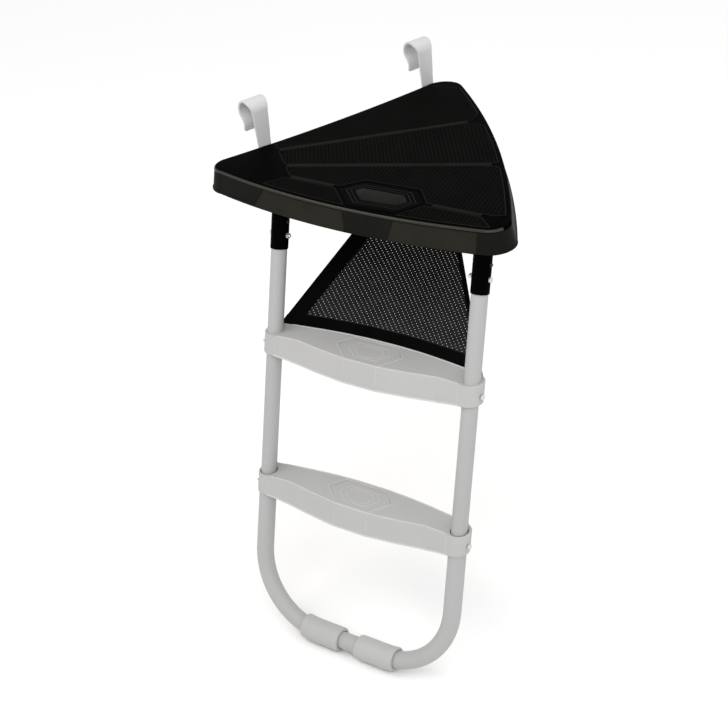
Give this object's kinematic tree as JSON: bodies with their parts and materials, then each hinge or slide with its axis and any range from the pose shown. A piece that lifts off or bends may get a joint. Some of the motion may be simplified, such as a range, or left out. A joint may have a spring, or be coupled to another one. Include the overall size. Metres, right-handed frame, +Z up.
{
  "type": "trampoline ladder with entry platform",
  "caption": "Bent-tube ladder with curved treads, a fan-shaped moulded entry platform, claws that hang on a trampoline's rail, and a net panel below the platform.",
  "frame": {"origin": "the trampoline rail's axis, half way between the two claws", "axes": "+X along the treads to the climber's right, +Y the way the climber faces, +Z up"},
  "size_m": [0.708, 0.8681, 0.9845],
  "materials": {
    "pale_paint": "smooth matt pale grey paint",
    "pale_plastic": "moulded, fine grain",
    "pale_badge": "smooth satin",
    "deck_plastic": "moulded, ribbed top, fine grain skirt",
    "deck_badge": "smooth satin black",
    "black_paint": "satin black powder coat",
    "button_steel": "dull zinc",
    "spring_steel": "blank spring steel",
    "net_mesh": "woven mesh with border tape",
    "webbing": "woven webbing",
    "zinc": "zinc plated"
  },
  "bodies": {
    "ladder": {"bottom_bow": "pale_paint", "front_crossbar": "black_paint", "left_foot_sleeve": "pale_plastic", "left_hook": "pale_paint", "left_hook_bolt_a": "zinc", "left_hook_bolt_b": "zinc", "left_hook_nut_a": "zinc", "left_hook_nut_b": "zinc", "left_lock_spring": "spring_steel", "left_lower_tread_bolt": "zinc", "left_lower_tread_nut": "zinc", "left_side_bar": "black_paint", "left_socket": "black_paint", "left_socket_bolt": "zinc", "left_socket_nut": "zinc", "left_upper_tread_bolt": "zinc", "left_upper_tread_nut": "zinc", "left_upright": "pale_paint", "lower_tread": "pale_plastic", "lower_tread_badge": "pale_badge", "net": "net_mesh", "net_screw_left": "zinc", "net_screw_right": "zinc", "net_strap": "webbing", "platform_badge": "deck_badge", "platform_screw_1": "zinc", "platform_screw_2": "zinc", "platform_screw_3": "zinc", "platform_screw_4": "zinc", "platform_screw_5": "zinc", "platform_screw_6": "zinc", "platform_shell": "deck_plastic", "rear_crossbar": "black_paint", "right_foot_sleeve": "pale_plastic", "right_hook": "pale_paint", "right_hook_bolt_a": "zinc", "right_hook_bolt_b": "zinc", "right_hook_nut_a": "zinc", "right_hook_nut_b": "zinc", "right_lock_spring": "spring_steel", "right_lower_tread_bolt": "zinc", "right_lower_tread_nut": "zinc", "right_side_bar": "black_paint", "right_socket": "black_paint", "right_socket_bolt": "zinc", "right_socket_nut": "zinc", "right_upper_tread_bolt": "zinc", "right_upper_tread_nut": "zinc", "right_upright": "pale_paint", "upper_tread": "pale_plastic", "upper_tread_badge": "pale_badge"},
    "left_button": {"left_lock_button": "button_steel"},
    "right_button": {"right_lock_button": "button_steel"}
  },
  "joints": [
    {"name": "left_button_press", "type": "slide", "parent": "ladder", "child": "left_button", "axis": [1, 0, 0], "range_m": [-0.0045, 0], "stiffness_N_per_m": 1500, "springref_m": 0.003, "deforming": ["left_lock_spring"]},
    {"name": "right_button_press", "type": "slide", "parent": "ladder", "child": "right_button", "axis": [1, 0, 0], "range_m": [-0.0045, 0], "stiffness_N_per_m": 1500, "springref_m": 0.003, "deforming": ["right_lock_spring"]}
  ]
}
